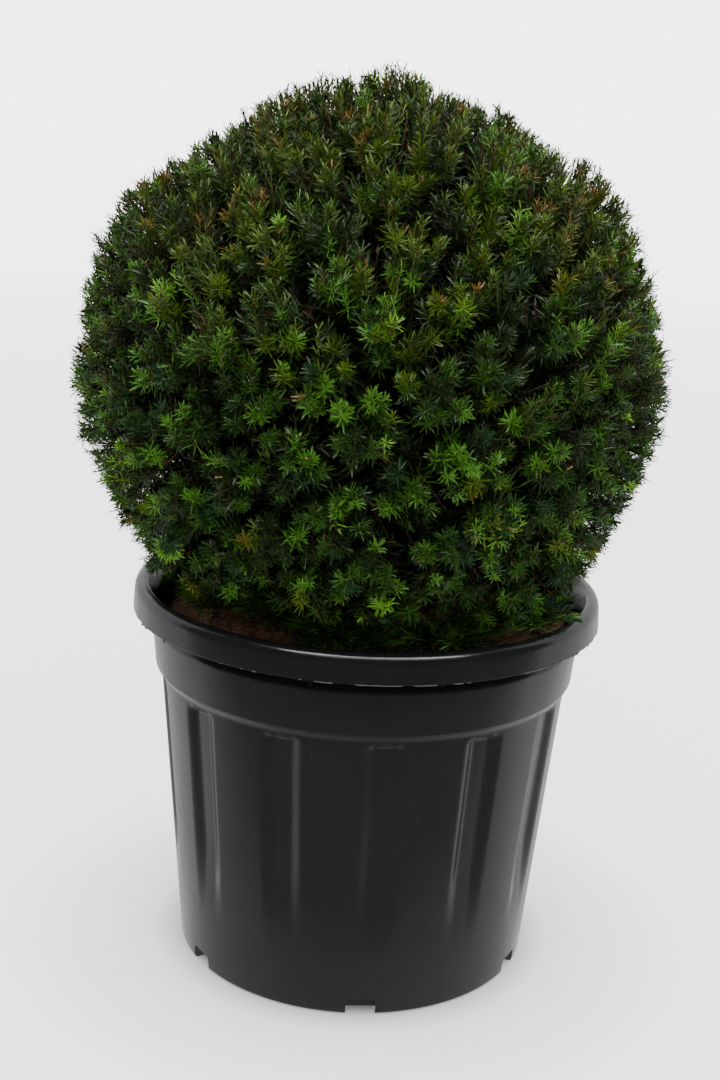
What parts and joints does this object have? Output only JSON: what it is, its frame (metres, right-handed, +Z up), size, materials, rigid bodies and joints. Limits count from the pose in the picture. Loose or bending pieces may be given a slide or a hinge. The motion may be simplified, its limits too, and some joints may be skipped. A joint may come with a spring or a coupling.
{
  "type": "potted groenland anglo-japanese yew shrub",
  "caption": "Evergreen yew shrub clipped to a ball, rooted in soil in a round black ribbed nursery pot with a turned-down rim and drain notches.",
  "frame": {"origin": "centre of the pot's flat underside, on the pot's axis", "axes": "+Z up along the pot's axis to the top of the ball, -Y towards the front that was pictured"},
  "size_m": [0.4824, 0.4866, 0.7385],
  "materials": {
    "pot_plastic": "semi-gloss moulded plastic, lightly scratched and dusty",
    "potting_soil": "damp crumbly reddish-brown peat",
    "bark": "matt, scaly, reddish brown",
    "foliage": "fine needles, slightly waxy, fresh green to olive with bronze clipped tips",
    "low_foliage": "longer needles, glossy, darker blue-green"
  },
  "bodies": {
    "root": {"pot": "pot_plastic", "soil": "potting_soil", "stem": "bark", "clipped_ball": "foliage", "low_bough_1": "bark", "low_sprays_1": "low_foliage", "low_bough_2": "bark", "low_sprays_2": "low_foliage", "low_bough_3": "bark", "low_sprays_3": "low_foliage", "low_bough_4": "bark", "low_sprays_4": "low_foliage", "low_bough_5": "bark", "low_sprays_5": "low_foliage", "low_bough_6": "bark", "low_sprays_6": "low_foliage", "low_bough_7": "bark", "low_sprays_7": "low_foliage", "low_bough_8": "bark", "low_sprays_8": "low_foliage", "low_bough_9": "bark", "low_sprays_9": "low_foliage"}
  },
  "joints": []
}
